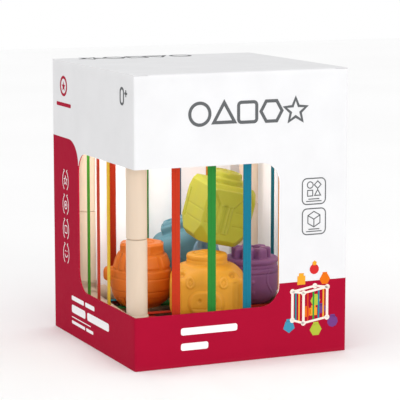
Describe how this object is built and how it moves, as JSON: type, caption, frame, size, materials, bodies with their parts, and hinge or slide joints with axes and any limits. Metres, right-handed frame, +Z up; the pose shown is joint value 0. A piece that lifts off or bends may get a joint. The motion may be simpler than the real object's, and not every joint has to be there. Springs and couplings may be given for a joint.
{
  "type": "shape sorter",
  "caption": "Open cage with coloured elastic bands on every side that holds soft animal and shape blocks, standing in its square window carton with a tuck lid.",
  "frame": {"origin": "middle of the carton's underside", "axes": "+Z up, -Y out of the front wall, -X out of the other wall with the window; the window runs round the front left corner"},
  "size_m": [0.165, 0.165, 0.206],
  "materials": {
    "band_blue": "woven elastic",
    "band_green": "woven elastic",
    "band_orange": "woven elastic",
    "band_red": "woven elastic",
    "band_teal": "woven elastic",
    "band_yellow": "woven elastic",
    "block_bear": "soft matt yellow",
    "block_chick": "soft matt red",
    "block_gem": "soft matt lime",
    "block_hive": "soft matt orange",
    "block_owl": "soft matt teal",
    "block_pot": "soft matt purple",
    "cream_plastic": "cream, softly glossy",
    "insert_card": "plain brown board",
    "printed_card": "smooth printed white and crimson board"
  },
  "bodies": {
    "base": {"band_back_1": "band_red", "band_back_2": "band_green", "band_back_3": "band_blue", "band_back_4": "band_orange", "band_front_1": "band_red", "band_front_2": "band_green", "band_front_3": "band_blue", "band_front_4": "band_orange", "band_left_1": "band_yellow", "band_left_2": "band_red", "band_left_3": "band_green", "band_right_1": "band_orange", "band_right_2": "band_yellow", "band_right_3": "band_teal", "bands_bottom_across": "band_teal", "bands_bottom_along": "band_red", "bands_top_across": "band_teal", "bands_top_along": "band_red", "carton_floor": "printed_card", "connector_bottom_back_left": "cream_plastic", "connector_bottom_back_right": "cream_plastic", "connector_bottom_front_left": "cream_plastic", "connector_bottom_front_right": "cream_plastic", "connector_top_back_left": "cream_plastic", "connector_top_back_right": "cream_plastic", "connector_top_front_left": "cream_plastic", "connector_top_front_right": "cream_plastic", "insert_tray": "insert_card", "post_lower_back_left": "cream_plastic", "post_lower_back_right": "cream_plastic", "post_lower_front_left": "cream_plastic", "post_lower_front_right": "cream_plastic", "post_upper_back_left": "cream_plastic", "post_upper_back_right": "cream_plastic", "post_upper_front_left": "cream_plastic", "post_upper_front_right": "cream_plastic", "rail_bottom_back": "cream_plastic", "rail_bottom_front": "cream_plastic", "rail_bottom_left": "cream_plastic", "rail_bottom_right": "cream_plastic", "rail_top_back": "cream_plastic", "rail_top_front": "cream_plastic", "rail_top_left": "cream_plastic", "rail_top_right": "cream_plastic"},
    "carton": {"carton_front": "printed_card", "carton_left": "printed_card", "carton_right": "printed_card", "carton_back": "printed_card", "carton_glue_tab": "printed_card"},
    "lid": {"carton_lid": "printed_card"},
    "flap_left": {"dust_flap_left": "printed_card"},
    "flap_right": {"dust_flap_right": "printed_card"},
    "bear": {"block_bear": "block_bear"},
    "hive": {"block_hive": "block_hive"},
    "pot": {"block_pot": "block_pot"},
    "owl": {"block_owl": "block_owl"},
    "gem": {"block_gem": "block_gem"},
    "chick": {"block_chick": "block_chick"}
  },
  "joints": [
    {"name": "carton_lift", "type": "slide", "parent": "base", "child": "carton", "axis": [0, 0, 1], "range_m": [0, 0.2]},
    {"name": "lid_hinge", "type": "hinge", "parent": "carton", "child": "lid", "pos_m": [0, 0.0825, 0.2052], "axis": [-1, 0, 0], "range_deg": [0, 170]},
    {"name": "flap_left_hinge", "type": "hinge", "parent": "carton", "child": "flap_left", "pos_m": [-0.0814, 0, 0.2049], "axis": [0, -1, 0], "range_deg": [0, 85]},
    {"name": "flap_right_hinge", "type": "hinge", "parent": "carton", "child": "flap_right", "pos_m": [0.0814, 0, 0.2049], "axis": [0, 1, 0], "range_deg": [0, 85]},
    {"name": "bear_lift", "type": "slide", "parent": "base", "child": "bear", "axis": [0, 0, 1], "range_m": [0, 0.0025]},
    {"name": "hive_slide", "type": "slide", "parent": "base", "child": "hive", "axis": [-1, 0, 0], "range_m": [0, 0.005]},
    {"name": "pot_spin", "type": "hinge", "parent": "base", "child": "pot", "pos_m": [0.0444, -0.0018, 0.03], "axis": [0, 0, 1], "continuous": true},
    {"name": "owl_lift", "type": "slide", "parent": "base", "child": "owl", "axis": [0, 0, 1], "range_m": [0, 0.013]},
    {"name": "gem_lift", "type": "slide", "parent": "base", "child": "gem", "axis": [0, 0, 1], "range_m": [0, 0.023]},
    {"name": "chick_lift", "type": "slide", "parent": "owl", "child": "chick", "axis": [0, 0, 1], "range_m": [0, 0.02]}
  ],
  "couplings": [
    {"joint": "flap_left_hinge", "follows": "lid_hinge", "ratio": 0.5},
    {"joint": "flap_right_hinge", "follows": "lid_hinge", "ratio": 0.5}
  ]
}
